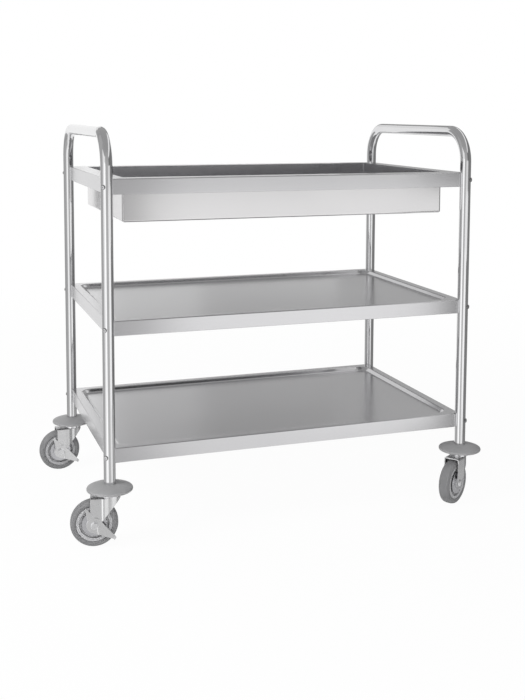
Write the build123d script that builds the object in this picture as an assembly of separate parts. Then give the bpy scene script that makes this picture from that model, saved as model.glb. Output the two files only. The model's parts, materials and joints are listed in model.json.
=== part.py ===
from build123d import *
import math
import os

# Three-tier serving trolley. Two bent-tube end frames carry a deep tray shelf and two pressed shelves,
# and stand on four swivel casters. Millimetres. The origin is on the floor, midway between the four legs.
# X runs along the shelves, Y from the front to the back, and Z is up.

# End frames
leg_spacing_x = 830.0
leg_spacing_y = 510.0
tube_diameter = 25.0
tube_wall = 1.2
handle_top = 877.0
handle_bend_radius = 70.0

# Shelves
sheet = 1.0
top_rim_top = 771.0
top_rim_height = 33.0
middle_rim_top = 475.0
bottom_rim_top = 205.0
shelf_rim_height = 31.5
rim_edge_radius = 2.0
hem_width = 12.0
seat_clearance = 0.1
recess_border = 20.0
recess_depth = 8.0
recess_slope = 9.0
recess_corner_radius = 30.0
tray_inset = 40.0
tray_depth = 95.0
tray_corner_radius = 9.0
tray_floor_radius = 5.0
tray_flange = 10.0

# Shelf fixings
bolt_diameter = 5.0
bolt_hole_clearance = 0.2
bolt_head_diameter = 10.0
bolt_head_height = 2.7
bolt_head_round = 2.2
bolt_socket_width = 3.0
bolt_socket_depth = 1.4
bolt_tail = 1.5
nut_block_width = 12.0
nut_block_depth = 9.0
thread_clearance = 0.05

# Wheels
wheel_diameter = 100.0
tyre_width = 26.0
tyre_thickness = 12.0
tyre_shoulder = 6.0
rim_width = 23.0
rim_thickness = 7.0
web_thickness = 8.0
hub_diameter = 24.0
hub_side_gap = 0.3
bush_diameter = 14.0
bush_side_gap = 0.1
guard_diameter = 51.0
guard_thickness = 1.5
guard_setback = 2.5
bond_clearance = 0.05
running_clearance = 0.06

# Forks
caster_trail = 33.0
fork_sheet = 2.5
fork_inner_width = 32.0
fork_lead = 22.0
fork_crease = 13.0
fork_eye_diameter = 16.0
fork_nose_depth = 6.0
fork_bend_radius = 4.0
fork_head_gap = 4.5
swivel_cup_diameter = 43.0
swivel_cup_wall = 2.0
swivel_cup_height = 6.0

# Swivel heads
ball_diameter = 5.0
ball_count = 10
ball_circle_diameter = 30.0
ball_clearance = 0.1
race_diameter = 38.0
race_thickness = 2.8
race_hub_diameter = 22.0
race_hub_height = 4.0
stem_diameter = 12.0
stem_head_diameter = 18.0
stem_head_height = 5.0
stem_head_gap = 0.2
stem_grip = 34.0
plug_flange = 3.0
plug_length = 42.0
plug_clearance = 0.05

# Bumper discs
bumper_diameter = 97.0
bumper_clearance = 0.1
bumper_hub_wall = 3.4
bumper_rim_lift = 3.5
bumper_rim_height = 5.0
bumper_rim_round = 1.6
bumper_wall = 3.0
bumper_dome_height = 8.5
bumper_dome_sagitta = 1.5

# Axles and brake levers
axle_diameter = 8.0
axle_head_width = 13.0
axle_head_height = 5.3
axle_pan_diameter = 15.0
axle_pan_height = 2.4
axle_pan_round = 1.2
axle_nut_height = 7.0
axle_tail = 1.5
lever_sheet = 2.0
lever_gap = 0.1
lever_hub_diameter = 32.0
pedal_reach = 50.0
pedal_tip_diameter = 7.0
pedal_angle = 214.0
pedal_lip_width = 6.0
pedal_lip_height = 5.0
release_reach = 39.0
release_root_diameter = 22.0
release_tip_diameter = 4.0
release_angle = 64.0

# Which way each wheel trails from its leg, in degrees from +X, and whether its caster has a brake
caster_places = {
    "front_left": {"side_x": -1, "side_y": -1, "heading": 170.0, "braked": True},
    "rear_left": {"side_x": -1, "side_y": 1, "heading": 183.0, "braked": True},
    "front_right": {"side_x": 1, "side_y": -1, "heading": 214.0, "braked": False},
    "rear_right": {"side_x": 1, "side_y": 1, "heading": 25.0, "braked": False},
}

# Levels of a caster, stacked up from the floor
axle_level = wheel_diameter / 2
fork_plate_low = wheel_diameter + fork_head_gap
fork_plate_top = fork_plate_low + fork_sheet
ball_level = fork_plate_top + ball_clearance + ball_diameter / 2
race_low = ball_level + ball_diameter / 2 + ball_clearance
race_top = race_low + race_thickness
plug_low = race_top + race_hub_height
leg_bottom = plug_low + plug_flange

# Radii and halves that several pieces share
tube_radius = tube_diameter / 2
tube_bore_radius = tube_radius - tube_wall
seat_radius = tube_radius + seat_clearance
seat_back_radius = seat_radius + sheet
bolt_radius = bolt_diameter / 2
fork_half = fork_inner_width / 2
fork_outer_half = fork_half + fork_sheet
rim_outer_radius = wheel_diameter / 2 - tyre_thickness
cut_over = 5.0

# Level of the bolts at each shelf
bolt_levels = (
    top_rim_top - top_rim_height / 2,
    middle_rim_top - shelf_rim_height / 2,
    bottom_rim_top - shelf_rim_height / 2,
)
corners = [(side_x, side_y) for side_x in (-1, 1) for side_y in (-1, 1)]


def leg_axis(side_x, side_y):
    return (side_x * leg_spacing_x / 2, side_y * leg_spacing_y / 2)


def fixing_plane(side_x, side_y, level):
    """Plane on a leg's axis whose normal points diagonally out of the trolley."""
    x, y = leg_axis(side_x, side_y)
    return Plane(origin=(x, y, level), x_dir=(0, 0, 1), z_dir=(side_x, side_y, 0))


def fixing_holes(level):
    """Bolt holes at the four corners, as deep as the nut blocks reach."""
    radius = bolt_radius + bolt_hole_clearance
    length = 2 * (seat_back_radius + cut_over)
    return [fixing_plane(*corner, level) * Cylinder(radius, length) for corner in corners]


def upright(radius, low, high):
    """Round bar along Z between two levels."""
    return Pos(0, 0, (low + high) / 2) * Cylinder(radius, high - low)


def corner_posts(radius, low, high):
    return [Pos(*leg_axis(*corner), 0) * upright(radius, low, high) for corner in corners]


def plan_block(inset, low, high):
    """Block whose sides stand inside the planes of the leg axes."""
    size_x = leg_spacing_x - 2 * inset
    size_y = leg_spacing_y - 2 * inset
    return Pos(0, 0, (low + high) / 2) * Box(size_x, size_y, high - low)


def plan_outline(inset, corner_radius, level):
    """Rounded rectangle inside the planes of the leg axes."""
    size_x = leg_spacing_x - 2 * inset
    size_y = leg_spacing_y - 2 * inset
    return Pos(0, 0, level) * RectangleRounded(size_x, size_y, corner_radius)


def plan_prism(inset, corner_radius, low, high):
    return extrude(plan_outline(inset, corner_radius, low), amount=high - low)


def wheel_turned(outline):
    """Solid turned about the axle from an outline of (radius, offset along the axle)."""
    return Pos(caster_trail, 0, axle_level) * revolve(outline, axis=Axis.Y)


def slab(outline, low_y, high_y):
    """Slab of an XZ outline between two offsets along Y."""
    return extrude(Plane.XZ.offset(-low_y) * outline, amount=low_y - high_y)


def axle_bar(radius, low_y, high_y):
    return slab(Pos(caster_trail, axle_level) * Circle(radius), low_y, high_y)


def axle_hexagon(low_y, high_y):
    outline = RegularPolygon(axle_head_width / 2, 6, major_radius=False)
    return slab(Pos(caster_trail, axle_level) * outline, low_y, high_y)


def end_frame(side_x):
    x, y = leg_axis(side_x, 1)
    top = handle_top - tube_radius
    stations = ((x, -y, leg_bottom), (x, -y, top), (x, y, top), (x, y, leg_bottom))
    route = FilletPolyline(*stations, radius=handle_bend_radius)
    foot = Plane(origin=stations[0], z_dir=(0, 0, 1))
    tube = sweep(foot * Circle(tube_radius), path=route)
    tube -= sweep(foot * Circle(tube_bore_radius), path=route)
    for level in bolt_levels:
        tube -= fixing_holes(level)
    return tube


def shelf_shell(rim_top, rim_height):
    """Solid block of a shelf with its seats for the legs, and the hollow under its border."""
    low = rim_top - rim_height
    block = plan_block(0, low, rim_top)
    block = fillet(block.faces().sort_by(Axis.Z)[-1].edges(), rim_edge_radius)
    block -= corner_posts(seat_radius, low - cut_over, rim_top + cut_over)
    hollow = plan_block(sheet, low + sheet, rim_top - sheet)
    hollow += plan_block(hem_width, low - cut_over, low + sheet)
    hollow -= corner_posts(seat_back_radius, low - 2 * cut_over, rim_top + cut_over)
    return block, hollow


def recess(rim_top, growth):
    """Pocket pressed into a shelf, or with growth the same pocket a sheet's thickness larger."""
    upper_inset = recess_border - growth
    lower_inset = recess_border + recess_slope - growth
    lower_radius = recess_corner_radius - recess_slope + growth
    upper = plan_outline(upper_inset, recess_corner_radius + growth, rim_top)
    lower = plan_outline(lower_inset, lower_radius, rim_top - recess_depth - growth)
    return loft([lower, upper], ruled=True)


def pressed_shelf(rim_top):
    block, hollow = shelf_shell(rim_top, shelf_rim_height)
    hollow -= recess(rim_top, sheet)
    return block - hollow - recess(rim_top, 0) - fixing_holes(rim_top - shelf_rim_height / 2)


def top_shelf():
    block, hollow = shelf_shell(top_rim_top, top_rim_height)
    mouth_inset = tray_inset + sheet
    mouth_radius = tray_corner_radius - sheet
    mouth = plan_prism(mouth_inset, mouth_radius, top_rim_top - top_rim_height, top_rim_top + cut_over)
    return block - hollow - mouth - fixing_holes(top_rim_top - top_rim_height / 2)


def deep_tray():
    top = top_rim_top - sheet
    low = top_rim_top - tray_depth
    shell = plan_prism(tray_inset, tray_corner_radius, low, top)
    shell = fillet(shell.faces().sort_by(Axis.Z)[0].edges(), tray_floor_radius)
    flange_radius = tray_corner_radius + tray_flange
    shell += plan_prism(tray_inset - tray_flange, flange_radius, top - sheet, top)
    inside = plan_prism(tray_inset + sheet, tray_corner_radius - sheet, low + sheet, top + cut_over)
    inside = fillet(inside.faces().sort_by(Axis.Z)[0].edges(), tray_floor_radius - sheet)
    return shell - inside


def shelf_bolt(plane):
    head = Pos(0, 0, bolt_head_height / 2) * Cylinder(bolt_head_diameter / 2, bolt_head_height)
    head = fillet(head.faces().sort_by(Axis.Z)[-1].edges(), bolt_head_round)
    socket = RegularPolygon(bolt_socket_width / 2, 6, major_radius=False)
    head -= extrude(Pos(0, 0, bolt_head_height) * socket, amount=-bolt_socket_depth)
    length = tube_radius + seat_back_radius + nut_block_depth + bolt_tail
    shank = Pos(0, 0, -length / 2) * Cylinder(bolt_radius, length)
    return plane * Pos(0, 0, tube_radius) * (head + shank)


def nut_block(plane, corner, level):
    reach = seat_back_radius + nut_block_depth
    depth = reach - seat_radius
    block = Pos(0, 0, -seat_radius - depth / 2) * Box(nut_block_width, nut_block_width, depth)
    block -= Cylinder(bolt_radius + thread_clearance, 2 * (reach + cut_over))
    seat = upright(seat_back_radius + thread_clearance, level - nut_block_width, level + nut_block_width)
    return plane * block - Pos(*leg_axis(*corner), 0) * seat


def shelf_fixings():
    bolts = []
    nuts = []
    for level in bolt_levels:
        for corner in corners:
            plane = fixing_plane(*corner, level)
            bolts.append(shelf_bolt(plane))
            nuts.append(nut_block(plane, corner, level))
    return bolts, nuts


def bumper():
    bore = tube_radius + bumper_clearance
    hub = bore + bumper_hub_wall
    rim = bumper_diameter / 2
    rim_low = race_top + bumper_rim_lift
    rim_high = rim_low + bumper_rim_height
    dome_top = rim_high + bumper_dome_height
    under = dome_top - bumper_wall
    foot = [(bore, dome_top), (bore, race_top), (hub, race_top), (hub, under)]
    edge = [(rim - bumper_wall, rim_low), (rim, rim_low), (rim, rim_high)]
    outline = Polyline(*foot, *edge)
    outline += SagittaArc(edge[-1], (hub, dome_top), -bumper_dome_sagitta)
    outline += Line((hub, dome_top), foot[0])
    section = make_face(outline)
    section = fillet(section.vertices().group_by(Axis.X)[-1], bumper_rim_round)
    return revolve(Plane.XZ * section, axis=Axis.Z)


def tube_plug():
    plug = upright(tube_radius, plug_low, leg_bottom)
    plug += upright(tube_bore_radius - plug_clearance, leg_bottom, leg_bottom + plug_length)
    return plug - upright(stem_diameter / 2 + plug_clearance, plug_low - cut_over, handle_top)


def stem():
    head_top = fork_plate_low - stem_head_gap
    head = upright(stem_head_diameter / 2, head_top - stem_head_height, head_top)
    return head + upright(stem_diameter / 2, head_top, leg_bottom + stem_grip)


def swivel_race():
    race = upright(race_diameter / 2, race_low, race_top)
    race += upright(race_hub_diameter / 2, race_top, plug_low)
    return race - upright(stem_diameter / 2 + plug_clearance, race_low - cut_over, handle_top)


def swivel_balls():
    ring = PolarLocations(ball_circle_diameter / 2, ball_count)
    return [Pos(0, 0, ball_level) * place * Sphere(ball_diameter / 2) for place in ring]


def fork_plan(inset, back):
    """Outline of the fork seen from above: straight beside the wheel, drawn in to a rounded nose."""
    crease = caster_trail - fork_crease
    half = fork_outer_half - inset
    nose = EllipticalCenterArc((crease, 0), crease + fork_lead - inset, half, 90, arc_size=180)
    return make_face(nose + Polyline((crease, half), (back, half), (back, -half), (crease, -half)))


def fork_block(inset, back, low, high):
    """Block of the fork's plan with its top edges rounded where the sheet is bent over."""
    block = extrude(Pos(0, 0, low) * fork_plan(inset, back), high - low)
    bends = block.faces().sort_by(Axis.Z)[-1].edges().sort_by(Axis.X)[:-1]
    return fillet(bends, fork_bend_radius - inset)


def fork_side():
    """Side of the fork: an eye round the axle under the head, joined by straight edges."""
    eye = Pos(caster_trail, axle_level) * Circle(fork_eye_diameter / 2)
    back = caster_trail + fork_eye_diameter / 2
    nose_low = fork_plate_top - fork_nose_depth
    head = Polyline((-fork_lead, nose_low), (-fork_lead, fork_plate_top), (back, fork_plate_top))
    return make_hull(eye.edges() + head.edges())


def fork():
    back = caster_trail + fork_eye_diameter / 2
    foot = axle_level - fork_eye_diameter / 2
    walls = fork_block(0, back, foot, fork_plate_top)
    walls -= fork_block(fork_sheet, back + cut_over, foot - cut_over, fork_plate_low)
    walls &= slab(fork_side(), -fork_outer_half, fork_outer_half)
    cup_radius = swivel_cup_diameter / 2
    walls += upright(cup_radius, fork_plate_low, fork_plate_top + swivel_cup_height)
    walls -= upright(cup_radius - swivel_cup_wall, fork_plate_top, fork_plate_top + 2 * swivel_cup_height)
    walls -= upright(stem_diameter / 2 + running_clearance, 0, fork_plate_top + cut_over)
    return walls - axle_bar(axle_diameter / 2 + running_clearance, -2 * fork_outer_half, 2 * fork_outer_half)


def axle_head_start(braked):
    lever_room = lever_sheet + 2 * lever_gap if braked else 0.0
    return fork_outer_half + lever_room


def axle_bolt(braked):
    """Axle with a hexagon head over a brake lever, or a low round head on a plain caster."""
    head_start = axle_head_start(braked)
    tail = -(fork_outer_half + axle_nut_height + axle_tail)
    bolt = axle_bar(axle_diameter / 2, tail, head_start)
    if braked:
        return bolt + axle_hexagon(head_start, head_start + axle_head_height)
    pan = axle_bar(axle_pan_diameter / 2, head_start, head_start + axle_pan_height)
    return bolt + fillet(pan.faces().sort_by(Axis.Y)[-1].edges(), axle_pan_round)


def axle_nut():
    nut = axle_hexagon(-fork_outer_half - axle_nut_height, -fork_outer_half)
    bore = axle_diameter / 2 + thread_clearance
    return nut - axle_bar(bore, -2 * fork_outer_half, -fork_outer_half + cut_over)


def wheel_core():
    hub_half = fork_half - hub_side_gap
    bore = bush_diameter / 2 + bond_clearance
    hub = hub_diameter / 2
    web_half = web_thickness / 2
    rim_inner = rim_outer_radius - rim_thickness
    rim_half = rim_width / 2
    half = [(bore, hub_half), (hub, hub_half), (hub, web_half), (rim_inner, web_half),
            (rim_inner, rim_half), (rim_outer_radius, rim_half)]
    mirrored = [(radius, -offset) for radius, offset in reversed(half)]
    return wheel_turned(make_face(Polyline(*half, *mirrored, close=True)))


def tyre():
    inner = rim_outer_radius + bond_clearance
    thickness = wheel_diameter / 2 - inner
    outline = Pos(inner + thickness / 2, 0) * Rectangle(thickness, tyre_width)
    shoulders = outline.vertices().group_by(Axis.X)[-1]
    return wheel_turned(fillet(shoulders, tyre_shoulder))


def axle_bush():
    bore = axle_diameter / 2 + running_clearance
    half = fork_half - bush_side_gap
    return axle_bar(bush_diameter / 2, -half, half) - axle_bar(bore, -fork_outer_half, fork_outer_half)


def thread_guards():
    bore = hub_diameter / 2 + bond_clearance
    outer_face = fork_half - guard_setback
    inner_face = outer_face - guard_thickness
    disc = axle_bar(guard_diameter / 2, inner_face, outer_face) - axle_bar(bore, 0, fork_outer_half)
    return [disc, mirror(disc, about=Plane.XZ)]


def lever_arm(root_diameter, tip_diameter, reach, angle):
    """Tapering arm from the axle, with its direction counted from the trailing side upwards."""
    tip = Rot(0, 0, angle) * Pos(reach, 0) * Circle(tip_diameter / 2)
    return make_hull(Circle(root_diameter / 2).edges() + tip.edges())


def brake_lever():
    low_y = fork_outer_half + lever_gap
    high_y = low_y + lever_sheet
    axle = Pos(caster_trail, axle_level)
    outline = lever_arm(lever_hub_diameter, pedal_tip_diameter, pedal_reach, pedal_angle)
    outline += lever_arm(release_root_diameter, release_tip_diameter, release_reach, release_angle)
    outline -= Circle(axle_diameter / 2 + running_clearance)
    lip_reach = pedal_reach + pedal_tip_diameter / 2 - lever_sheet
    lip = Rot(0, 0, pedal_angle) * Pos(lip_reach, 0) * Rectangle(lever_sheet, pedal_lip_width)
    return slab(axle * outline, low_y, high_y) + slab(axle * lip, low_y, high_y + pedal_lip_height)


def gather(pieces):
    """One group of the separate solids in a list."""
    return Compound([solid for piece in pieces for solid in piece.solids()])


def frame_parts():
    bolts, nuts = shelf_fixings()
    return {
        "left_end_frame": [end_frame(-1)],
        "right_end_frame": [end_frame(1)],
        "top_shelf": [top_shelf()],
        "deep_tray": [deep_tray()],
        "middle_shelf": [pressed_shelf(middle_rim_top)],
        "bottom_shelf": [pressed_shelf(bottom_rim_top)],
        "shelf_bolts": bolts,
        "corner_nuts": nuts,
    }


def caster_parts(name, side_x, side_y, heading, braked):
    local = {
        "bumper": [bumper()],
        "tube_plug": [tube_plug()],
        "stem": [stem()],
        "swivel_race": [swivel_race()],
        "swivel_balls": swivel_balls(),
        "fork": [fork()],
        "axle_bolt": [axle_bolt(braked)],
        "axle_nut": [axle_nut()],
        "wheel_core": [wheel_core()],
        "tyre": [tyre()],
        "axle_bush": [axle_bush()],
        "thread_guards": thread_guards(),
    }
    if braked:
        local["brake_lever"] = [brake_lever()]
    place = Pos(*leg_axis(side_x, side_y), 0) * Rot(0, 0, heading)
    return {f"{name}_{piece}": [place * solid for solid in solids] for piece, solids in local.items()}


parts = frame_parts()
for caster_name, caster_place in caster_places.items():
    parts.update(caster_parts(caster_name, **caster_place))

os.makedirs("parts", exist_ok=True)
for node, pieces in parts.items():
    export_step(gather(pieces), f"parts/{node}.step")
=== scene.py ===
import bmesh
import bpy
import json
import math
from mathutils import Matrix, Vector


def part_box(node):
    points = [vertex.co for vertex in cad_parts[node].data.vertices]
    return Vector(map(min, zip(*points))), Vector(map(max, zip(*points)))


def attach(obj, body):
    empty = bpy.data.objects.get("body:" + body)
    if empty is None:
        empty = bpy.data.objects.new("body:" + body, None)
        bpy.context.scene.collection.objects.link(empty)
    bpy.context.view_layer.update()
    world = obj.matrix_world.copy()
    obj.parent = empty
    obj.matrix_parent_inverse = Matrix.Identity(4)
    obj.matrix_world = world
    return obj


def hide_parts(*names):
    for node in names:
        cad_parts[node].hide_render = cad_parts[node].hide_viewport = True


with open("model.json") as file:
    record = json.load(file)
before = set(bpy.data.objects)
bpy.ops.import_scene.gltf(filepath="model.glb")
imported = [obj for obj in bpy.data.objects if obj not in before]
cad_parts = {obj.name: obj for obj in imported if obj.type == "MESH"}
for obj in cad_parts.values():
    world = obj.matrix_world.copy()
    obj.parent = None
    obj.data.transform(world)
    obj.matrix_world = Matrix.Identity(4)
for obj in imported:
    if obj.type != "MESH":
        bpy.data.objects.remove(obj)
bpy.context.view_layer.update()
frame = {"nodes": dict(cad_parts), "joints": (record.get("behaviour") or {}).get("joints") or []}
mm = 0.001
weldGap = 0.001 * mm  # points closer than this become one
plainCrease = 32  # degrees, past which an edge is shaded sharp
fullTurn = 2 * math.pi
quarterTurn = math.pi / 2
casterNames = ("front_left", "rear_left", "front_right", "rear_right")
print("frame loaded:", len(frame["nodes"]), "nodes")


# small tools shared by the pieces

def ringIn(geom):  # the edges of a new ring, without the ones that join it to the old ring
    verts = {item for item in geom if isinstance(item, bmesh.types.BMVert)}
    edges = [item for item in geom if isinstance(item, bmesh.types.BMEdge)]
    return [edge for edge in edges if edge.verts[0] in verts and edge.verts[1] in verts]


def vertsOf(edges):
    return list({vert for edge in edges for vert in edge.verts})


def growRing(bm, ring, move):
    made = bmesh.ops.extrude_edge_only(bm, edges=ring)["geom"]
    newRing = ringIn(made)
    bmesh.ops.translate(bm, verts=vertsOf(newRing), vec=move)
    return newRing


def bendRing(bm, ring, centre, axis, angle, steps):
    made = bmesh.ops.spin(bm, geom=ring + vertsOf(ring), cent=centre, axis=axis, angle=angle, steps=steps)
    return ringIn(made["geom_last"])


def bevelEdges(bm, edges, width, segments):
    bmesh.ops.bevel(bm, geom=edges, offset=width, segments=segments, affect="EDGES", profile=0.5, material=-1)


def sharpEdges(bm, limit):  # edges between faces that turn by more than the limit, in degrees
    turn = math.radians(limit)
    return [edge for edge in bm.edges if len(edge.link_faces) == 2 and edge.calc_face_angle() > turn]


def lathe(bm, points, axis, centre, steps):  # a closed outline spun into a solid ring or disc
    verts = [bm.verts.new(point) for point in points]
    edges = [bm.edges.new(pair) for pair in zip(verts, verts[1:] + verts[:1])]
    bmesh.ops.spin(bm, geom=verts + edges, cent=centre, axis=axis, angle=fullTurn, steps=steps,
                   use_merge=True)
    bmesh.ops.remove_doubles(bm, verts=bm.verts, dist=weldGap)
    bmesh.ops.dissolve_degenerate(bm, dist=weldGap, edges=bm.edges)
    bmesh.ops.recalc_face_normals(bm, faces=bm.faces)


def uprightLathe(bm, outline, steps):  # outline of (radius, level) in millimetres, about Z
    lathe(bm, [(radius * mm, 0, level * mm) for radius, level in outline], (0, 0, 1), (0, 0, 0), steps)


def axleLathe(bm, outline, axle, steps):  # outline of (radius, offset) in millimetres, about the axle
    points = [(axle.x, offset * mm, axle.z + radius * mm) for radius, offset in outline]
    lathe(bm, points, (0, 1, 0), axle, steps)


def addCopy(target, part, place):  # puts a copy of a small bmesh into a larger one
    mesh = bpy.data.meshes.new("copy")
    part.to_mesh(mesh)
    mesh.transform(place)
    target.from_mesh(mesh)
    bpy.data.meshes.remove(mesh)


def finishPiece(bm, name, material, body, nodes, crease=plainCrease):
    for face in bm.faces:
        face.smooth = True
    for edge in bm.edges:
        edge.smooth = not edge.is_boundary
    for edge in sharpEdges(bm, crease):
        edge.smooth = False
    mesh = bpy.data.meshes.new(name)
    bm.to_mesh(mesh)
    bm.free()
    mesh.materials.append(material)
    piece = bpy.data.objects.new(name, mesh)
    bpy.context.scene.collection.objects.link(piece)
    shading = piece.modifiers.new("evenShading", "WEIGHTED_NORMAL")
    shading.keep_sharp = True
    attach(piece, body)
    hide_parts(*nodes)
    return piece


# materials

noiseShape = {"band": (0.3, 0.7), "grainDetail": 5, "cloudDetail": 3}  # band: where most of the noise lies


def newMaterial(name):
    material = bpy.data.materials.new(name)
    material.use_nodes = True
    tree = material.node_tree
    return material, tree, tree.nodes["Principled BSDF"]


def addNode(tree, kind, **settings):
    node = tree.nodes.new(kind)
    for key, value in settings.items():
        setattr(node, key, value)
    return node


def noiseField(tree, stretch, scale, detail):  # noise on the piece's own coordinates
    place = addNode(tree, "ShaderNodeTexCoord")
    mapping = addNode(tree, "ShaderNodeMapping")
    mapping.inputs["Scale"].default_value = stretch
    noise = addNode(tree, "ShaderNodeTexNoise")
    noise.inputs["Scale"].default_value = scale
    noise.inputs["Detail"].default_value = detail
    tree.links.new(place.outputs["Object"], mapping.inputs["Vector"])
    tree.links.new(mapping.outputs["Vector"], noise.inputs["Vector"])
    return noise.outputs["Fac"]


def spread(tree, field, low, high):  # maps a noise field onto a range
    node = addNode(tree, "ShaderNodeMapRange")
    node.inputs["From Min"].default_value, node.inputs["From Max"].default_value = noiseShape["band"]
    node.inputs["To Min"].default_value = low
    node.inputs["To Max"].default_value = high
    tree.links.new(field, node.inputs["Value"])
    return node.outputs["Result"]


def blendColours(tree, field, dark, pale):
    node = addNode(tree, "ShaderNodeMix", data_type="RGBA")
    node.inputs["A"].default_value = (*dark, 1)
    node.inputs["B"].default_value = (*pale, 1)
    tree.links.new(spread(tree, field, 0, 1), node.inputs["Factor"])
    return node.outputs["Result"]


def addBump(tree, shader, field, strength, depth):
    bump = addNode(tree, "ShaderNodeBump")
    bump.inputs["Strength"].default_value = strength
    bump.inputs["Distance"].default_value = depth
    tree.links.new(field, bump.inputs["Height"])
    tree.links.new(bump.outputs["Normal"], shader.inputs["Normal"])


def grainedFinish(name, look):  # metal or plastic with a fine grain over slow clouds
    material, tree, shader = newMaterial(name)
    grain = noiseField(tree, look["grainStretch"], look["grainScale"], noiseShape["grainDetail"])
    clouds = noiseField(tree, (1, 1, 1), look["cloudScale"], noiseShape["cloudDetail"])
    tree.links.new(blendColours(tree, clouds, look["dark"], look["pale"]), shader.inputs["Base Color"])
    tree.links.new(spread(tree, grain, *look["roughness"]), shader.inputs["Roughness"])
    addBump(tree, shader, grain, look["bump"], look["bumpDepth"])
    shader.inputs["Metallic"].default_value = look["metallic"]
    return material


tubeSteelLook = {
    "dark": (0.71, 0.71, 0.72), "pale": (0.76, 0.76, 0.765), "roughness": (0.07, 0.10), "metallic": 1.0,
    "grainStretch": (60, 60, 1), "grainScale": 40, "cloudScale": 4, "bump": 0.003, "bumpDepth": 0.01 * mm,
}
sheetSteelLook = {
    "dark": (0.605, 0.602, 0.613), "pale": (0.645, 0.642, 0.653), "roughness": (0.19, 0.23), "metallic": 1.0,
    "grainStretch": (1, 90, 90), "grainScale": 30, "cloudScale": 3, "bump": 0.012, "bumpDepth": 0.02 * mm,
}
traySteelLook = {
    "dark": (0.675, 0.668, 0.673), "pale": (0.715, 0.708, 0.713), "roughness": (0.15, 0.18), "metallic": 1.0,
    "grainStretch": (1, 90, 90), "grainScale": 30, "cloudScale": 3, "bump": 0.01, "bumpDepth": 0.02 * mm,
}
# painted shade: a darker copy of the tray steel for the inside, standing in for shade inside the tray
trayInsidePaintedShadeLook = {
    "dark": (0.60, 0.597, 0.61), "pale": (0.64, 0.637, 0.65), "roughness": (0.19, 0.23), "metallic": 0.97,
    "grainStretch": (1, 90, 90), "grainScale": 30, "cloudScale": 3, "bump": 0.01, "bumpDepth": 0.02 * mm,
}
zincLook = {
    "dark": (0.72, 0.72, 0.725), "pale": (0.76, 0.76, 0.765), "roughness": (0.24, 0.28), "metallic": 1.0,
    "grainStretch": (1, 1, 1), "grainScale": 120, "cloudScale": 30, "bump": 0.003, "bumpDepth": 0.02 * mm,
}
boltLook = {
    "dark": (0.80, 0.80, 0.81), "pale": (0.88, 0.88, 0.89), "roughness": (0.12, 0.20), "metallic": 1.0,
    "grainStretch": (1, 1, 1), "grainScale": 400, "cloudScale": 90, "bump": 0.03, "bumpDepth": 0.03 * mm,
}
shelfBoltLook = {
    "dark": (0.58, 0.58, 0.59), "pale": (0.66, 0.66, 0.67), "roughness": (0.12, 0.20), "metallic": 1.0,
    "grainStretch": (1, 1, 1), "grainScale": 400, "cloudScale": 90, "bump": 0.03, "bumpDepth": 0.03 * mm,
}
# painted shade: a dark finish for the edge of each shelf bolt head, where shade falls against the tube
boltEdgePaintedShadeLook = {
    "dark": (0.15, 0.15, 0.15), "pale": (0.23, 0.23, 0.23), "roughness": (0.35, 0.50), "metallic": 0.6,
    "grainStretch": (1, 1, 1), "grainScale": 400, "cloudScale": 90, "bump": 0.03, "bumpDepth": 0.03 * mm,
}
guardLook = {
    "dark": (0.575, 0.575, 0.595), "pale": (0.615, 0.615, 0.635), "roughness": (0.26, 0.32), "metallic": 1.0,
    "grainStretch": (1, 1, 1), "grainScale": 250, "cloudScale": 50, "bump": 0.02, "bumpDepth": 0.04 * mm,
}
bumperLook = {
    "dark": (0.32, 0.32, 0.325), "pale": (0.36, 0.36, 0.365), "roughness": (0.38, 0.46), "metallic": 0.0,
    "grainStretch": (1, 1, 1), "grainScale": 900, "cloudScale": 25, "bump": 0.12, "bumpDepth": 0.1 * mm,
}
tyreLook = {
    "dark": (0.205, 0.205, 0.21), "pale": (0.24, 0.24, 0.245), "roughness": (0.55, 0.7), "metallic": 0.0,
    "grainStretch": (1, 1, 1), "grainScale": 700, "cloudScale": 40, "bump": 0.2, "bumpDepth": 0.15 * mm,
}
coreLook = {
    "dark": (0.44, 0.44, 0.45), "pale": (0.50, 0.50, 0.51), "roughness": (0.4, 0.52), "metallic": 0.0,
    "grainStretch": (1, 1, 1), "grainScale": 800, "cloudScale": 30, "bump": 0.1, "bumpDepth": 0.1 * mm,
}
plugLook = {
    "dark": (0.06, 0.06, 0.06), "pale": (0.09, 0.09, 0.09), "roughness": (0.45, 0.6), "metallic": 0.0,
    "grainStretch": (1, 1, 1), "grainScale": 800, "cloudScale": 30, "bump": 0.1, "bumpDepth": 0.1 * mm,
}
tubeSteel = grainedFinish("tubeSteel", tubeSteelLook)
sheetSteel = grainedFinish("sheetSteel", sheetSteelLook)
traySteel = grainedFinish("traySteel", traySteelLook)
trayInsidePaintedShade = grainedFinish("trayInsidePaintedShade", trayInsidePaintedShadeLook)
zincSteel = grainedFinish("zincSteel", zincLook)
boltSteel = grainedFinish("boltSteel", boltLook)
shelfBoltSteel = grainedFinish("shelfBoltSteel", shelfBoltLook)
boltEdgePaintedShade = grainedFinish("boltEdgePaintedShade", boltEdgePaintedShadeLook)
guardSteel = grainedFinish("guardSteel", guardLook)
bumperPlastic = grainedFinish("bumperPlastic", bumperLook)
tyreRubber = grainedFinish("tyreRubber", tyreLook)
corePlastic = grainedFinish("corePlastic", coreLook)
plugPlastic = grainedFinish("plugPlastic", plugLook)
print("finishes ready")


# end frames: one bent tube each

frameTube = {"sides": 64, "bendSteps": 24, "bend": 70 * mm, "wall": 1.2 * mm, "boreDepth": 20 * mm}
tubeLow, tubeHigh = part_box("left_end_frame")
tubeRadius = (tubeHigh.x - tubeLow.x) / 2
legX = -(tubeLow.x + tubeHigh.x) / 2
legY = tubeHigh.y - tubeRadius
legFoot = tubeLow.z


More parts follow.
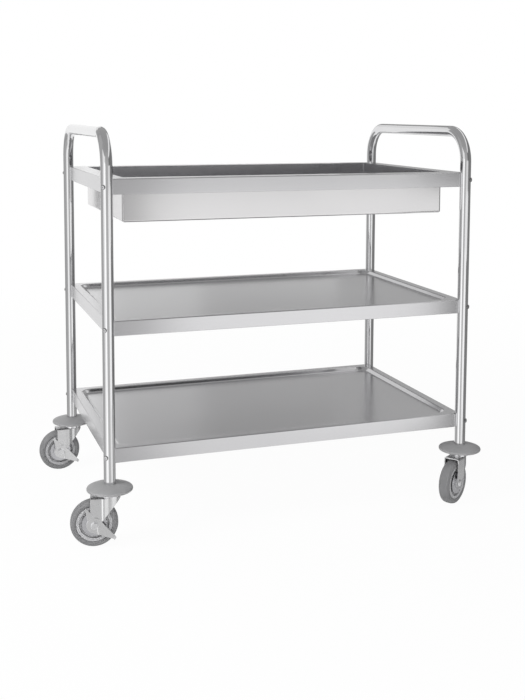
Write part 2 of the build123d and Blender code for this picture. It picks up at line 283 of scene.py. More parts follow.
def buildEndFrame(side, sideX):
    bm = bmesh.new()
    bend, steps = frameTube["bend"], frameTube["bendSteps"]
    shoulder = tubeHigh.z - tubeRadius - bend
    spot = Vector((sideX * legX, -legY, legFoot))
    circle = bmesh.ops.create_circle(
        bm, segments=frameTube["sides"], radius=tubeRadius, matrix=Matrix.Translation(spot))
    foot = list({edge for vert in circle["verts"] for edge in vert.link_edges})
    ring = growRing(bm, foot, (0, 0, shoulder - legFoot))
    ring = bendRing(bm, ring, (spot.x, bend - legY, shoulder), (1, 0, 0), -quarterTurn, steps)
    ring = growRing(bm, ring, (0, 2 * (legY - bend), 0))
    ring = bendRing(bm, ring, (spot.x, legY - bend, shoulder), (1, 0, 0), -quarterTurn, steps)
    ring = growRing(bm, ring, (0, 0, legFoot - shoulder))
    boreScale = 1 - frameTube["wall"] / tubeRadius
    for end, y in ((foot, -legY), (ring, legY)):  # the wall shows at the open feet
        inner = growRing(bm, end, (0, 0, 0))
        bmesh.ops.scale(bm, verts=vertsOf(inner), vec=(boreScale, boreScale, 1),
                        space=Matrix.Translation((-spot.x, -y, 0)))
        growRing(bm, inner, (0, 0, frameTube["boreDepth"]))
    bmesh.ops.recalc_face_normals(bm, faces=bm.faces)
    finishPiece(bm, f"{side}EndFrame", tubeSteel, "frame", [f"{side}_end_frame"])


buildEndFrame("left", -1)
buildEndFrame("right", 1)
print("end frames built")


# shelves: folded sheet, cut back round the legs

shelfSheet = {
    "thickness": 1.0 * mm, "seatGap": 0.1 * mm, "hem": 12 * mm, "arcSteps": 12,
    "rimRound": 2.0 * mm, "rimSteps": 4, "footRound": 1.2 * mm, "footSteps": 3,
}
recessShape = {
    "border": 20 * mm, "corner": 30 * mm, "slope": 9 * mm, "depth": 8 * mm,
    "lipRound": 2.5 * mm, "floorRound": 3.5 * mm, "roundSteps": 4,
}
trayShape = {
    "inset": 40 * mm, "corner": 5 * mm, "floorRound": 5 * mm, "floorSteps": 5, "flange": 10 * mm,
    "upward": 0.5,  # a face whose normal rises past this belongs to the inside
}
faceUp, faceDown = 1, -1
seatRadius = tubeRadius + shelfSheet["seatGap"]
cornerSigns = ((1, 1), (-1, 1), (-1, -1), (1, -1))


def cornerArcs(level, reach, radius, start, sweep):  # points on four corner arcs, anticlockwise from above
    points = []
    steps = shelfSheet["arcSteps"]
    for turn, (signX, signY) in enumerate(cornerSigns):
        centre = Vector((signX * (legX - reach), signY * (legY - reach), level))
        for step in range(steps + 1):
            angle = turn * quarterTurn + start + sweep * step / steps
            points.append(centre + radius * Vector((math.cos(angle), math.sin(angle), 0)))
    return points


def notchedOutline(inset, level):  # runs in round each leg
    radius = seatRadius + inset
    lean = math.asin(inset / radius)
    return cornerArcs(level, 0, radius, 3 * quarterTurn - lean, 2 * lean - quarterTurn)


def roundedOutline(inset, corner, level):
    return cornerArcs(level, inset + corner, corner, 0, quarterTurn)


def loopEdges(bm, verts):
    return [bm.edges.get(pair) for pair in zip(verts, verts[1:] + verts[:1])]


def startLoop(bm, points):
    verts = [bm.verts.new(point) for point in points]
    for pair in zip(verts, verts[1:] + verts[:1]):
        bm.edges.new(pair)
    return verts


def nextLoop(bm, verts, points):  # extrudes a loop and moves it to the next outline of the sheet
    made = set(bmesh.ops.extrude_edge_only(bm, edges=loopEdges(bm, verts))["geom"])
    newVerts = []
    for vert, point in zip(verts, points):
        newVert = next(edge.other_vert(vert) for edge in vert.link_edges if edge.other_vert(vert) in made)
        newVert.co = point
        newVerts.append(newVert)
    return newVerts


def thicken(bm, thickness, facing):  # inward from the skin, whose widest level panel faces up or down
    bmesh.ops.recalc_face_normals(bm, faces=bm.faces)
    panel = max(bm.faces, key=lambda face: abs(face.normal.z) * face.calc_area())
    if panel.normal.z * facing < 0:
        bmesh.ops.reverse_faces(bm, faces=bm.faces)
    bmesh.ops.solidify(bm, geom=bm.faces[:], thickness=thickness)


def rimLoops(bm, low, high):
    hem = startLoop(bm, notchedOutline(shelfSheet["hem"], low.z))
    foot = nextLoop(bm, hem, notchedOutline(0, low.z))
    rim = nextLoop(bm, foot, notchedOutline(0, high.z))
    return foot, rim


def softenLoop(bm, loop, width, segments):
    bevelEdges(bm, loopEdges(bm, loop), width, segments)


def softenRim(bm, rim, foot):
    softenLoop(bm, rim, shelfSheet["rimRound"], shelfSheet["rimSteps"])
    softenLoop(bm, foot, shelfSheet["footRound"], shelfSheet["footSteps"])


def buildPressedShelf(name, node):
    low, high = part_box(node)
    shape = recessShape
    bm = bmesh.new()
    foot, rim = rimLoops(bm, low, high)
    lip = nextLoop(bm, rim, roundedOutline(shape["border"], shape["corner"], high.z))
    floorInset = shape["border"] + shape["slope"]
    floorCorner = shape["corner"] - shape["slope"]
    floorLoop = nextLoop(bm, lip, roundedOutline(floorInset, floorCorner, high.z - shape["depth"]))
    bmesh.ops.edgeloop_fill(bm, edges=loopEdges(bm, floorLoop))
    softenLoop(bm, floorLoop, shape["floorRound"], shape["roundSteps"])
    softenLoop(bm, lip, shape["lipRound"], shape["roundSteps"])
    softenRim(bm, rim, foot)
    thicken(bm, shelfSheet["thickness"], faceUp)
    finishPiece(bm, name, sheetSteel, "frame", [node])


def buildTopShelf():
    low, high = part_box("top_shelf")
    sheet = shelfSheet["thickness"]
    bm = bmesh.new()
    foot, rim = rimLoops(bm, low, high)
    nextLoop(bm, rim, roundedOutline(trayShape["inset"] + sheet, trayShape["corner"] - sheet, high.z))
    softenRim(bm, rim, foot)
    thicken(bm, sheet, faceUp)
    finishPiece(bm, "topShelf", sheetSteel, "frame", ["top_shelf"])


def buildDeepTray():
    low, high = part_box("deep_tray")
    shape = trayShape
    bm = bmesh.new()
    wallTop = high.z - shelfSheet["thickness"]
    flangeInset = shape["inset"] - shape["flange"]
    flangeCorner = shape["corner"] + shape["flange"]
    flange = startLoop(bm, roundedOutline(flangeInset, flangeCorner, wallTop))
    wall = nextLoop(bm, flange, roundedOutline(shape["inset"], shape["corner"], wallTop))
    floorLoop = nextLoop(bm, wall, roundedOutline(shape["inset"], shape["corner"], low.z))
    bmesh.ops.edgeloop_fill(bm, edges=loopEdges(bm, floorLoop))
    softenLoop(bm, floorLoop, shape["floorRound"], shape["floorSteps"])
    thicken(bm, shelfSheet["thickness"], faceDown)
    for face in bm.faces:  # painted shade: the inside takes a darker, slightly rougher copy of the steel, so the outside is a little paler and smoother than the inside
        inward = face.normal.z > shape["upward"] or face.normal.xy.dot(face.calc_center_median().xy) < 0
        face.material_index = int(inward)
    tray = finishPiece(bm, "deepTray", traySteel, "frame", ["deep_tray"])
    tray.data.materials.append(trayInsidePaintedShade)


buildTopShelf()
buildDeepTray()
buildPressedShelf("middleShelf", "middle_shelf")
buildPressedShelf("bottomShelf", "bottom_shelf")
print("shelves built")


# dome-head bolts, one through each leg at each shelf

shelfBolt = {  # millimetres
    "headRadius": 5.0, "headHeight": 2.7, "flat": 2.6, "skirt": 0.4, "domeSteps": 8, "steps": 40,
    "socket": 1.73, "socketDepth": 1.4, "socketSides": 6, "shankRadius": 2.5, "shankLength": 10.0,
    "paintedShadeFrom": 4.35,
}


def boltHead():
    shape = shelfBolt
    bm = bmesh.new()
    height, skirt = shape["headHeight"], shape["skirt"]
    outline = [(shape["headRadius"], 0)]
    for step in range(shape["domeSteps"] + 1):  # quarter of an ellipse from the skirt to the flat crown
        angle = quarterTurn * step / shape["domeSteps"]
        radius = shape["flat"] + (shape["headRadius"] - shape["flat"]) * math.cos(angle)
        outline.append((radius, skirt + (height - skirt) * math.sin(angle)))
    verts = [bm.verts.new((radius * mm, 0, level * mm)) for radius, level in outline]
    edges = [bm.edges.new(pair) for pair in zip(verts, verts[1:])]
    bmesh.ops.spin(bm, geom=verts + edges, cent=(0, 0, 0), axis=(0, 0, 1), angle=fullTurn,
                   steps=shape["steps"], use_merge=True)
    crown = [edge for edge in bm.edges if edge.is_boundary and edge.verts[0].co.z > skirt * mm]
    base = [edge for edge in bm.edges if edge.is_boundary and edge.verts[0].co.z < skirt * mm / 2]
    socket = bmesh.ops.create_circle(bm, segments=shape["socketSides"], radius=shape["socket"] * mm,
                                     matrix=Matrix.Translation((0, 0, height * mm)))
    socketRing = list({edge for vert in socket["verts"] for edge in vert.link_edges})
    bmesh.ops.bridge_loops(bm, edges=crown + socketRing)
    deep = growRing(bm, socketRing, (0, 0, -shape["socketDepth"] * mm))
    bmesh.ops.edgeloop_fill(bm, edges=deep)
    neck = growRing(bm, base, (0, 0, 0))
    neckScale = shape["shankRadius"] / shape["headRadius"]
    bmesh.ops.scale(bm, verts=vertsOf(neck), vec=(neckScale, neckScale, 1))
    tail = growRing(bm, neck, (0, 0, -shape["shankLength"] * mm))
    bmesh.ops.edgeloop_fill(bm, edges=tail)
    bmesh.ops.recalc_face_normals(bm, faces=bm.faces)
    for face in bm.faces:  # painted shade: the edge of the head is darkened, standing in for shade between the head and the tube
        face.material_index = int(face.calc_center_median().xy.length > shape["paintedShadeFrom"] * mm)
    return bm


def buildShelfBolts():
    bm = bmesh.new()
    head = boltHead()
    for node in ("top_shelf", "middle_shelf", "bottom_shelf"):
        low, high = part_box(node)
        for signX, signY in cornerSigns:
            outward = Vector((signX, signY, 0)).normalized()
            spot = Vector((signX * legX, signY * legY, (low.z + high.z) / 2)) + outward * tubeRadius
            turn = outward.to_track_quat("Z", "Y").to_matrix().to_4x4()
            addCopy(bm, head, Matrix.Translation(spot) @ turn)
    head.free()
    bolts = finishPiece(bm, "shelfBolts", shelfBoltSteel, "frame", ["shelf_bolts"])
    # the second finish is the painted shade round the edge of each head
    bolts.data.materials.append(boltEdgePaintedShade)


buildShelfBolts()
print("shelf bolts built")


# casters: every piece is shaped with the wheel trailing along +X, then turned to its place

def casterPlace(name):
    joints = {joint["name"]: joint for joint in frame["joints"]}
    leg = Vector(joints[f"{name}_swivel_turn"]["pos_m"])
    axle = Vector(joints[f"{name}_wheel_spin"]["pos_m"])
    across = Vector(joints[f"{name}_wheel_spin"]["axis"])
    along = Vector((axle.x - leg.x, axle.y - leg.y, 0))
    turn = Matrix((along.normalized(), across, Vector((0, 0, 1)))).transposed().to_4x4()
    return Matrix.Translation((leg.x, leg.y, 0)) @ turn, Vector((along.length, 0, axle.z))


def finishCasterPiece(bm, name, piece, place, material, body, nodes, crease=plainCrease):
    bmesh.ops.transform(bm, matrix=place, verts=bm.verts)
    bmesh.ops.recalc_face_normals(bm, faces=bm.faces)
    words = name.split("_")
    title = words[0] + words[1].capitalize() + piece
    nodes = [f"{name}_{node}" for node in nodes]
    return finishPiece(bm, title, material, f"{name}_{body}" if body else "frame", nodes, crease)


bumperDisc = {  # millimetres and degrees, levels from the floor
    "bore": 12.6, "hub": 16.0, "rim": 48.5, "base": 115.0, "rimLow": 118.5, "rimHigh": 123.5, "top": 132.0,
    "wall": 3.0, "crown": 1.5, "bowSteps": 12, "steps": 96,
    "edgeTurn": 30, "edgeReach": 0.2, "edgeRound": 1.8, "roundSteps": 4,
}


def buildBumper(name, place):
    bm = bmesh.new()
    shape = bumperDisc
    dome = []
    for step in range(1, shape["bowSteps"]):  # a shallow bow from the rim up to the collar
        share = step / shape["bowSteps"]
        radius = shape["rim"] + (shape["hub"] - shape["rim"]) * share
        level = shape["rimHigh"] + (shape["top"] - shape["rimHigh"]) * share
        dome.append((radius, level + 4 * shape["crown"] * share * (1 - share)))
    outline = [(shape["bore"], shape["base"]), (shape["hub"], shape["base"]),
               (shape["hub"], shape["top"] - shape["wall"]), (shape["rim"] - shape["wall"], shape["rimLow"]),
               (shape["rim"], shape["rimLow"]), (shape["rim"], shape["rimHigh"])]
    outline += dome + [(shape["hub"], shape["top"]), (shape["bore"], shape["top"])]
    uprightLathe(bm, outline, shape["steps"])
    rimFrom = (shape["rim"] - shape["edgeReach"]) * mm
    rimEdges = [edge for edge in sharpEdges(bm, shape["edgeTurn"])
                if min(vert.co.xy.length for vert in edge.verts) > rimFrom]
    bevelEdges(bm, rimEdges, shape["edgeRound"] * mm, shape["roundSteps"])
    finishCasterPiece(bm, name, "Bumper", place, bumperPlastic, "", ["bumper"])


tyreShape = {  # millimetres and degrees, half outline of (radius, offset from the wheel's middle)
    "half": ((38.05, 11.8), (40.45, 13.0), (44.0, 13.0), (48.5, 10.2), (50.0, 5.0)),
    "steps": 96, "edgeTurn": 8, "edgeRound": 0.9, "roundSteps": 3, "crease": 40,
}
wheelCoreShape = {
    "half": ((7.05, 15.7), (12.0, 15.7), (12.0, 4.0), (31.0, 4.0), (31.0, 11.5), (38.0, 11.5)),
    "steps": 96, "edgeTurn": 30, "edgeRound": 1.2, "roundSteps": 3,
}
threadGuard = {
    "outline": ((12.05, 13.5), (15.0, 13.5), (16.0, 12.8), (25.5, 12.7), (25.5, 11.2), (12.05, 11.8)),
    "steps": 96, "edgeTurn": 12, "edgeRound": 0.4, "roundSteps": 3,
}


def mirroredOutline(half):  # closes an outline across the wheel's middle plane
    return [*half, *((radius, -offset) for radius, offset in reversed(half))]


def turnOnAxle(outline, axle, shape):  # a round piece of the wheel with its edges softened
    bm = bmesh.new()
    axleLathe(bm, outline, axle, shape["steps"])
    bevelEdges(bm, sharpEdges(bm, shape["edgeTurn"]), shape["edgeRound"] * mm, shape["roundSteps"])
    return bm


def buildTyre(name, place, axle):
    bm = turnOnAxle(mirroredOutline(tyreShape["half"]), axle, tyreShape)
    finishCasterPiece(bm, name, "Tyre", place, tyreRubber, "wheel", ["tyre"],
                      tyreShape["crease"])


def buildWheelCore(name, place, axle):
    bm = turnOnAxle(mirroredOutline(wheelCoreShape["half"]), axle, wheelCoreShape)
    finishCasterPiece(bm, name, "WheelCore", place, corePlastic, "wheel", ["wheel_core"])


def buildThreadGuards(name, place, axle):
    bm = bmesh.new()
    for side in (1, -1):
        outline = [(radius, side * offset) for radius, offset in threadGuard["outline"]]
        disc = turnOnAxle(outline, axle, threadGuard)
        addCopy(bm, disc, Matrix.Identity(4))
        disc.free()
    finishCasterPiece(bm, name, "ThreadGuards", place, guardSteel, "wheel", ["thread_guards"])


forkShape = {  # millimetres and degrees
    "plan": ((41, 18.5), (18.4, 18.5), (16.8, 18.7), (15.2, 19.3), (13.8, 19.6), (12.2, 19.6), (10.8, 19.3),
             (8.6, 18.4), (5, 17.0), (3, 16.4), (1, 16.1), (-3, 15.6), (-8, 13.8), (-13, 11.3), (-17.5, 8.1),
             (-20.7, 4.2), (-22, 0)),  # half outline, from the open back round a rib to the nose
    "top": 107.0, "sheet": 2.5, "bend": 4.0, "bendSteps": 5, "nose": (-22.0, 101.0), "eye": 8.0,
    "eyeSteps": 9, "joinGap": 0.01, "edgeTurn": 50, "edgeRound": 0.4, "roundSteps": 2,
}


def buildFork(name, place, axle):
    shape = forkShape
    bm = bmesh.new()
    verts = [bm.verts.new((x * mm, y * mm, shape["top"] * mm)) for x, y in shape["plan"]]
    edges = [bm.edges.new(pair) for pair in zip(verts, verts[1:])]
    bmesh.ops.mirror(bm, geom=verts + edges, matrix=Matrix.Identity(4), axis="Y",
                     merge_dist=shape["joinGap"] * mm)
    bends = bm.edges[:]
    bm.edges.new([vert for vert in bm.verts if len(vert.link_edges) == 1])
    bmesh.ops.edgeloop_fill(bm, edges=bm.edges[:])
    eye = shape["eye"] * mm
    growRing(bm, bends, (0, 0, axle.z - eye - shape["top"] * mm))
    bevelEdges(bm, bends, shape["bend"] * mm, shape["bendSteps"])
    toEye = axle - Vector((shape["nose"][0] * mm, 0, shape["nose"][1] * mm))
    start = math.atan2(toEye.z, toEye.x) - math.asin(eye / toEye.length) - quarterTurn
    for step in range(shape["eyeSteps"]):  # trims the sides along the lead edge and round the eye
        angle = start * (1 - step / shape["eyeSteps"])
        outward = Vector((math.cos(angle), 0, math.sin(angle)))
        bmesh.ops.bisect_plane(bm, geom=bm.verts[:] + bm.edges[:] + bm.faces[:],
                               plane_co=axle + outward * eye, plane_no=outward, clear_outer=True)
    thicken(bm, shape["sheet"] * mm, faceUp)
    bevelEdges(bm, sharpEdges(bm, shape["edgeTurn"]), shape["edgeRound"] * mm, shape["roundSteps"])
    finishCasterPiece(bm, name, "Fork", place, zincSteel, "swivel", ["fork"])


swivelCup = {  # millimetres, outline of (radius, level)
    "outline": ((19.5, 107.2), (21.5, 107.2), (21.5, 112.4), (21.0, 113.0), (19.9, 113.0), (19.5, 112.6)),
    "steps": 72,
}


def buildSwivelCup(name, place):
    bm = bmesh.new()
    uprightLathe(bm, swivelCup["outline"], swivelCup["steps"])
    finishCasterPiece(bm, name, "SwivelCup", place, boltSteel, "swivel", ["fork"])


axleShape = {  # millimetres, outlines of (radius, offset along the axle)
    "hexWidth": 13.0, "hexSides": 6, "chamfer": 0.9, "chamferSteps": 3, "steps": 40,
    "nutFace": 18.5, "nutHeight": 7.0, "leverFace": 20.7, "headHeight": 5.3,
    "bar": ((0, -27), (3.2, -27), (4, -26.2), (4, 20.7), (7.9, 20.7), (7.9, 21.3), (0, 21.3)),
    "panBar": ((0, -27), (3.2, -27), (4, -26.2), (4, 18.5), (7.5, 18.5), (7.5, 19.7), (7.0, 20.5),
               (5.8, 20.9), (0, 20.9)),
}


def addHexagon(bm, axle, start, height, side):  # hexagon along the axle, chamfered on its outer face
    shape = axleShape
    hexagon = bmesh.new()
    radius = shape["hexWidth"] / 2 / math.cos(math.pi / shape["hexSides"]) * mm
    bmesh.ops.create_cone(hexagon, cap_ends=True, segments=shape["hexSides"], radius1=radius, radius2=radius,
                          depth=height * mm)
    crown = [edge for edge in hexagon.edges if min(vert.co.z for vert in edge.verts) > 0]
    bevelEdges(hexagon, crown, shape["chamfer"] * mm, shape["chamferSteps"])
    spot = axle + Vector((0, side * (start + height / 2) * mm, 0))
    addCopy(bm, hexagon, Matrix.Translation(spot) @ Matrix.Rotation(-side * quarterTurn, 4, "X"))
    hexagon.free()


def buildAxle(name, place, axle, braked):
    bolt = bmesh.new()
    axleLathe(bolt, axleShape["bar" if braked else "panBar"], axle, axleShape["steps"])
    if braked:
        addHexagon(bolt, axle, axleShape["leverFace"], axleShape["headHeight"], 1)
    finishCasterPiece(bolt, name, "AxleBolt", place, boltSteel, "swivel", ["axle_bolt"])
    nut = bmesh.new()
    addHexagon(nut, axle, axleShape["nutFace"], axleShape["nutHeight"], -1)
    finishCasterPiece(nut, name, "AxleNut", place, boltSteel, "swivel", ["axle_nut"])


brakeLever = {  # millimetres and degrees, angles from the trailing side upwards
    "low": 18.6, "high": 20.6, "hub": 16.0, "pedalTip": 3.5, "pedalReach": 50.0, "pedalAngle": 214.0,
    "releaseRoot": 11.0, "releaseTip": 2.0, "releaseReach": 39.0, "releaseAngle": 64.0, "releaseDrop": 0.2,
    "lip": (2.0, 7.0, 6.0), "lipReach": 51.5, "ribSpot": (-8.0, -10.0), "ribSize": (2.6, 1.3, 10.0),
    "ribSides": (24, 16), "armSides": 48, "flatTurn": 1, "edgeTurn": 60, "edgeRound": 0.5, "roundSteps": 2,
}


def leverSpot(axle, reach, degrees, level):
    angle = math.radians(degrees)
    return Vector((axle.x + reach * math.cos(angle) * mm, level * mm, axle.z + reach * math.sin(angle) * mm))


def addArm(bm, axle, root, tip, reach, degrees, low, high):  # a tapering plate between two rounds
    shape = brakeLever
    arm = bmesh.new()
    upright = Matrix.Rotation(quarterTurn, 4, "X")
    for level in (low, high):
        for radius, distance in ((root, 0), (tip, reach)):
            spot = Matrix.Translation(leverSpot(axle, distance, degrees, level))
            bmesh.ops.create_circle(arm, segments=shape["armSides"], radius=radius * mm,
                                    matrix=spot @ upright)
    bmesh.ops.convex_hull(arm, input=arm.verts[:])
    bmesh.ops.delete(arm, geom=[edge for edge in arm.edges if not edge.link_faces], context="EDGES")
    bmesh.ops.delete(arm, geom=[vert for vert in arm.verts if not vert.link_faces], context="VERTS")
    bmesh.ops.dissolve_limit(arm, angle_limit=math.radians(shape["flatTurn"]),
                             verts=arm.verts, edges=arm.edges)
    bevelEdges(arm, sharpEdges(arm, shape["edgeTurn"]), shape["edgeRound"] * mm, shape["roundSteps"])
    addCopy(bm, arm, Matrix.Identity(4))
    arm.free()


def buildBrakeLever(name, place, axle):
    shape = brakeLever
    bm = bmesh.new()
    addArm(bm, axle, shape["hub"], shape["pedalTip"], shape["pedalReach"], shape["pedalAngle"],
           shape["low"], shape["high"])
    addArm(bm, axle, shape["releaseRoot"], shape["releaseTip"], shape["releaseReach"], shape["releaseAngle"],
           shape["low"], shape["high"] - shape["releaseDrop"])
    lip = bmesh.new()
    bmesh.ops.create_cube(lip, size=mm)
    bmesh.ops.scale(lip, verts=lip.verts, vec=shape["lip"])
    bevelEdges(lip, lip.edges[:], shape["edgeRound"] * mm, shape["roundSteps"])
    lipSpot = leverSpot(axle, shape["lipReach"], shape["pedalAngle"], shape["low"] + shape["lip"][1] / 2)
    lean = Matrix.Rotation(-math.radians(shape["pedalAngle"]), 4, "Y")
    addCopy(bm, lip, Matrix.Translation(lipSpot) @ lean)
    lip.free()
    ribX, ribZ = shape["ribSpot"]
    ribSpot = Vector((axle.x + ribX * mm, shape["high"] * mm, axle.z + ribZ * mm))
    ribSize = Matrix.Diagonal((*shape["ribSize"], 1))  # a pressed rib across the root of the pedal
    sidesRound, sidesAlong = shape["ribSides"]
    bmesh.ops.create_uvsphere(bm, u_segments=sidesRound, v_segments=sidesAlong, radius=mm,
                              matrix=Matrix.Translation(ribSpot) @ ribSize)
    finishCasterPiece(bm, name, "BrakeLever", place, zincSteel, "brake", ["brake_lever"])


for casterName in casterNames:
    casterMatrix, casterAxle = casterPlace(casterName)
    braked = f"{casterName}_brake_lever" in frame["nodes"]
    buildBumper(casterName, casterMatrix)
    buildFork(casterName, casterMatrix, casterAxle)
    buildSwivelCup(casterName, casterMatrix)
    buildAxle(casterName, casterMatrix, casterAxle, braked)
    buildTyre(casterName, casterMatrix, casterAxle)
    buildWheelCore(casterName, casterMatrix, casterAxle)
    buildThreadGuards(casterName, casterMatrix, casterAxle)
    if braked:
        buildBrakeLever(casterName, casterMatrix, casterAxle)
print("casters built")


# pieces that keep their solid shape take a finish only

solidFinishes = {
    "corner_nuts": boltSteel, "tube_plug": plugPlastic, "stem": boltSteel, "swivel_race": zincSteel,
    "swivel_balls": boltSteel, "axle_bush": plugPlastic,
}
for nodeName, solid in frame["nodes"].items():
    for ending, finish in solidFinishes.items():
        if nodeName.endswith(ending):
            solid.data.materials.clear()
            solid.data.materials.append(finish)
print("solid pieces finished")


# studio: pale floor, soft lamps, plain cards that the steel mirrors, and a white surround

studio = {
    "floorSize": 40.0, "floorColour": (0.9, 0.9, 0.9), "floorRoughness": 0.9, "floorGlow": 0.96,
    "fadeStart": 0.8, "fadeEnd": 3.0, "skyLight": 0.48,
    "ceiling": (-0.85, 0, 2.6), "ceilingSize": (2.15, 3.0), "ceilingLevel": 0.36,
}


def backgroundRays(tree):  # 1 for the rays that show the background, straight or in metal and glass
    path = addNode(tree, "ShaderNodeLightPath")
    total = path.outputs["Is Camera Ray"]
    for kind in ("Is Glossy Ray", "Is Transmission Ray"):
        add = addNode(tree, "ShaderNodeMath", operation="ADD", use_clamp=True)
        tree.links.new(total, add.inputs[0])
        tree.links.new(path.outputs[kind], add.inputs[1])
        total = add.outputs["Value"]
    return total


def rescale(tree, value, low, high):
    node = addNode(tree, "ShaderNodeMapRange")
    node.inputs["To Min"].default_value = low
    node.inputs["To Max"].default_value = high
    tree.links.new(value, node.inputs["Value"])
    return node.outputs["Result"]


def addStage(bm, name):
    mesh = bpy.data.meshes.new(name)
    bm.to_mesh(mesh)
    bm.free()
    thing = bpy.data.objects.new(name, mesh)
    bpy.context.scene.collection.objects.link(thing)
    return thing


def buildFloor():
    bm = bmesh.new()
    bmesh.ops.create_grid(bm, x_segments=1, y_segments=1, size=studio["floorSize"])
    floor = addStage(bm, "studioFloor")
    material, tree, shader = newMaterial("studioFloor")
    shader.inputs["Base Color"].default_value = (*studio["floorColour"], 1)
    shader.inputs["Roughness"].default_value = studio["floorRoughness"]
    glow = addNode(tree, "ShaderNodeEmission")
    mix = addNode(tree, "ShaderNodeMixShader")
    place = addNode(tree, "ShaderNodeTexCoord")
    away = addNode(tree, "ShaderNodeVectorMath", operation="LENGTH")
    fade = addNode(tree, "ShaderNodeMapRange")  # the floor fades to white away from the trolley
    fade.inputs["From Min"].default_value = studio["fadeStart"]
    fade.inputs["From Max"].default_value = studio["fadeEnd"]
    fade.inputs["To Min"].default_value = studio["floorGlow"]
    share = addNode(tree, "ShaderNodeMath", operation="MULTIPLY")
    tree.links.new(place.outputs["Object"], away.inputs[0])
    tree.links.new(away.outputs["Value"], fade.inputs["Value"])
    tree.links.new(fade.outputs["Result"], share.inputs[0])
    tree.links.new(backgroundRays(tree), share.inputs[1])
    tree.links.new(share.outputs["Value"], mix.inputs["Fac"])
    tree.links.new(shader.outputs["BSDF"], mix.inputs[1])
    tree.links.new(glow.outputs["Emission"], mix.inputs[2])
    tree.links.new(mix.outputs["Shader"], tree.nodes["Material Output"].inputs["Surface"])
    floor.data.materials.append(material)
    floor.visible_glossy = False  # the steel mirrors the cards, which run on below the floor


def buildCard(name, start, end, low, high, lowLevel, highLevel):
    bm = bmesh.new()
    foot = bm.edges.new([bm.verts.new((*spot, low)) for spot in (start, end)])
    growRing(bm, [foot], (0, 0, high - low))
    finishCard(bm, name, (low, high), (lowLevel, highLevel))


def buildCeiling():
    bm = bmesh.new()
    level = studio["ceilingLevel"]
    place = Matrix.Translation(studio["ceiling"]) @ Matrix.Diagonal((*studio["ceilingSize"], 1, 1))
    bmesh.ops.create_grid(bm, x_segments=1, y_segments=1, size=1, matrix=place)
    finishCard(bm, "ceilingCard", (0, studio["ceiling"][2]), (level, level))


def finishCard(bm, name, heights, levels):  # only mirrors show it, with an even change from foot to top
    card = addStage(bm, name)
    material, tree, shader = newMaterial(name)
    place = addNode(tree, "ShaderNodeTexCoord")
    parts = addNode(tree, "ShaderNodeSeparateXYZ")
    level = addNode(tree, "ShaderNodeMapRange")
    level.inputs["From Min"].default_value, level.inputs["From Max"].default_value = heights
    level.inputs["To Min"].default_value, level.inputs["To Max"].default_value = levels
    tree.links.new(place.outputs["Object"], parts.inputs["Vector"])
    tree.links.new(parts.outputs["Z"], level.inputs["Value"])
    tree.links.new(level.outputs["Result"], shader.inputs["Emission Strength"])
    shader.inputs["Base Color"].default_value = (0, 0, 0, 1)
    shader.inputs["Emission Color"].default_value = (1, 1, 1, 1)
    card.data.materials.append(material)
    card.visible_camera = False
    card.visible_diffuse = False
    card.visible_transmission = False
    card.visible_shadow = False


def softLamp(name, spot, target, size, radiance, mirrored):  # for mirrors, or for the plain surfaces
    data = bpy.data.lights.new(name, "AREA")
    data.shape = "RECTANGLE"
    data.size, data.size_y = size
    data.energy = radiance * math.pi * size[0] * size[1]
    lamp = bpy.data.objects.new(name, data)
    lamp.location = spot
    lamp.rotation_euler = (Vector(target) - Vector(spot)).to_track_quat("-Z", "Y").to_euler()
    lamp.visible_camera = False
    lamp.visible_glossy, lamp.visible_diffuse = mirrored, not mirrored
    bpy.context.scene.collection.objects.link(lamp)


def buildSurround():
    world = bpy.data.worlds.new("studioSurround")
    bpy.context.scene.world = world
    world.use_nodes = True
    tree = world.node_tree
    background = tree.nodes["Background"]
    background.inputs["Color"].default_value = (1, 1, 1, 1)
    tree.links.new(rescale(tree, backgroundRays(tree), studio["skyLight"], 1), background.inputs["Strength"])


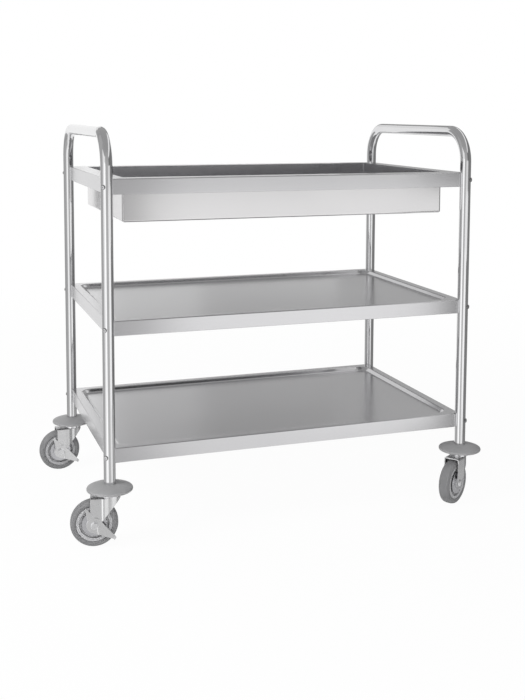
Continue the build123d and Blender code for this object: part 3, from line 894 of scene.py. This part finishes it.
lamps = {  # place, target and size in metres, brightness, and whether it is the one that mirrors show
    "keyLamp": ((-1.24, -1.29, 0.2), (0, -1.09, 0.2), (0.87, 1.6), 0.36, True),
    "sideLamp": ((-2.1, -0.6, 1.8), (0, 0, 0.2), (1.0, 1.0), 10.6, False),
    "frontLamp": ((-0.5, -3.6, 1.0), (0, 0, 0.5), (1.8, 1.6), 3.8, False),
}
cards = {  # plan ends, low and high edge in metres, brightness at each
    "rightReflectorFoot": ((0.13, -1.67), (0.74, -1.05), -1.2, -0.38, 0.96, 0.96),
    "rightReflectorLow": ((0.0, -1.8), (0.74, -1.05), -0.38, -0.1, 0.96, 0.96),
    "rightReflector": ((0.05, -1.75), (0.78, -1.01), -0.1, 0.46, 1.15, 1.15),
    "trayReflector": ((0.02, -1.78), (0.5, -1.295), 0.46, 0.63, 1.02, 1.02),
    "trayReflectorEnd": ((0.48, -1.295), (0.93, -0.845), 0.46, 0.665, 1.02, 1.02),
    "rightReflectorHigh": ((0.07, -1.73), (0.75, -1.04), 0.63, 0.85, 0.84, 0.84),
    "frontRightCard": ((0.8, -2.0), (1.5, -2.4), 0.85, 1.9, 0.15, 0.15),
    "frontCard": ((-1.5, -2.0), (0.8, -2.0), -1.2, 2.4, 0.62, 0.4),
    "casterReflector": ((1.49, -0.9), (1.49, 0.05), -1.2, -0.24, 0.55, 0.55),
    "rightCard": ((1.5, -2.4), (1.5, 1.2), -1.2, 1.9, 0.21, 0.21),
    "rightBackCardLow": ((1.5, 1.2), (1.5, 3.0), -1.2, -0.1, 0.21, 0.21),
    "rightBackCard": ((1.5, 1.2), (1.5, 3.0), -0.1, 1.9, 0.42, 0.42),
    "leftCard": ((-1.5, -0.4), (-1.5, 0.8), -1.2, 2.4, 0.46, 0.46),
    "leftBackCard": ((-1.5, 0.8), (-1.5, 3.0), -1.2, 2.4, 0.36, 0.36),
    "backCardLow": ((0.6, 6.2), (5.0, 6.2), 0.85, 1.3, 1.3, 1.3),
    "backCardLeft": ((0.75, 6.2), (1.6, 6.2), 1.3, 2.7, 0.58, 0.49),
    "backCardRight": ((1.6, 6.2), (5.0, 5.2), 1.3, 2.7, 0.41, 0.37),
    "backCardTopLeft": ((-3.0, 6.25), (0.75, 6.25), 2.7, 7.0, 0.85, 0.85),
    "backCardTop": ((0.75, 6.25), (5.0, 6.25), 2.7, 7.0, 0.27, 0.27),
}


cameraView = {
    "spot": (-0.811838, -2.376015, 0.909841), "yaw": 19.082, "pitch": 5.393, "roll": 0.197,
    "focalPixels": 1048.009, "centrePixel": (262.5, 210.0), "picture": (525, 700), "sensor": 36.0,
}


def buildCamera():
    data = bpy.data.cameras.new("photoCamera")
    wide, tall = cameraView["picture"]
    data.sensor_width = cameraView["sensor"]
    data.lens = cameraView["sensor"] * cameraView["focalPixels"] / tall
    data.shift_x = (wide / 2 - cameraView["centrePixel"][0]) / tall
    data.shift_y = (cameraView["centrePixel"][1] - tall / 2) / tall
    camera = bpy.data.objects.new("photoCamera", data)
    camera.location = cameraView["spot"]
    yaw, pitch, roll = (math.radians(cameraView[key]) for key in ("yaw", "pitch", "roll"))
    tilt = Matrix.Rotation(quarterTurn - pitch, 4, "X") @ Matrix.Rotation(roll, 4, "Z")
    camera.rotation_euler = (Matrix.Rotation(-yaw, 4, "Z") @ tilt).to_euler()
    bpy.context.scene.collection.objects.link(camera)
    bpy.context.scene.camera = camera


buildFloor()
buildSurround()
for lampName, lampSettings in lamps.items():
    softLamp(lampName, *lampSettings)
for cardName, cardSettings in cards.items():
    buildCard(cardName, *cardSettings)
buildCeiling()
buildCamera()
bpy.context.scene.view_settings.view_transform = "Standard"
print("studio ready")
